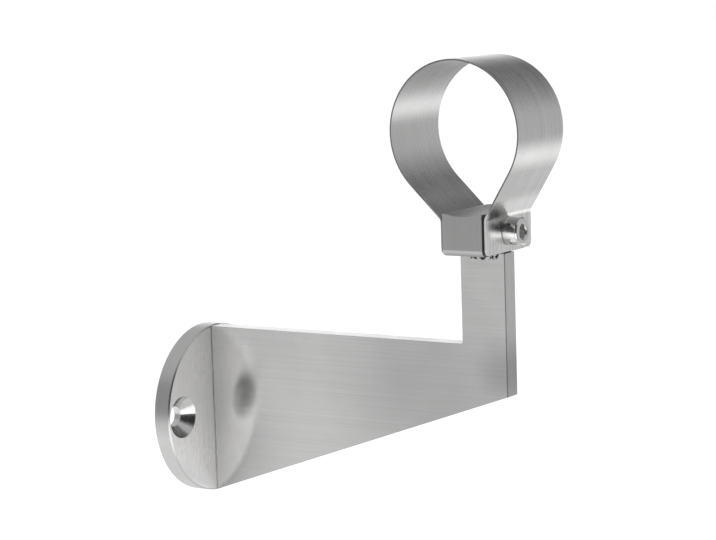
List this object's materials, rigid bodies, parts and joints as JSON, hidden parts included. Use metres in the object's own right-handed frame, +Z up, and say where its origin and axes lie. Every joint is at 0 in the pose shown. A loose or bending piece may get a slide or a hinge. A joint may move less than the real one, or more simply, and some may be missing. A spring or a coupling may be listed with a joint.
{
  "type": "handrail bracket",
  "caption": "Stainless wall bracket: round screw flange, tapered plate arm turned up at its end, saddle block and bolted strap clamp that holds a round handrail.",
  "frame": {"origin": "middle of the flange's back face, on the wall", "axes": "+X away from the wall, +Z up, and the handrail runs along Y"},
  "size_m": [0.1281, 0.055, 0.1421],
  "materials": {
    "brushed_steel": "satin brushed stainless",
    "strap_steel": "fine brushed stainless strip",
    "polished_steel": "bright stainless fastener",
    "weld_metal": "brushed-over weld bead"
  },
  "bodies": {
    "root": {"wall_flange": "brushed_steel", "bracket_arm": "brushed_steel", "saddle_block": "brushed_steel", "near_weld_bead": "weld_metal", "far_weld_bead": "weld_metal", "clamp_strap": "strap_steel", "clamp_screw": "polished_steel", "clamp_nut": "polished_steel"}
  },
  "joints": []
}
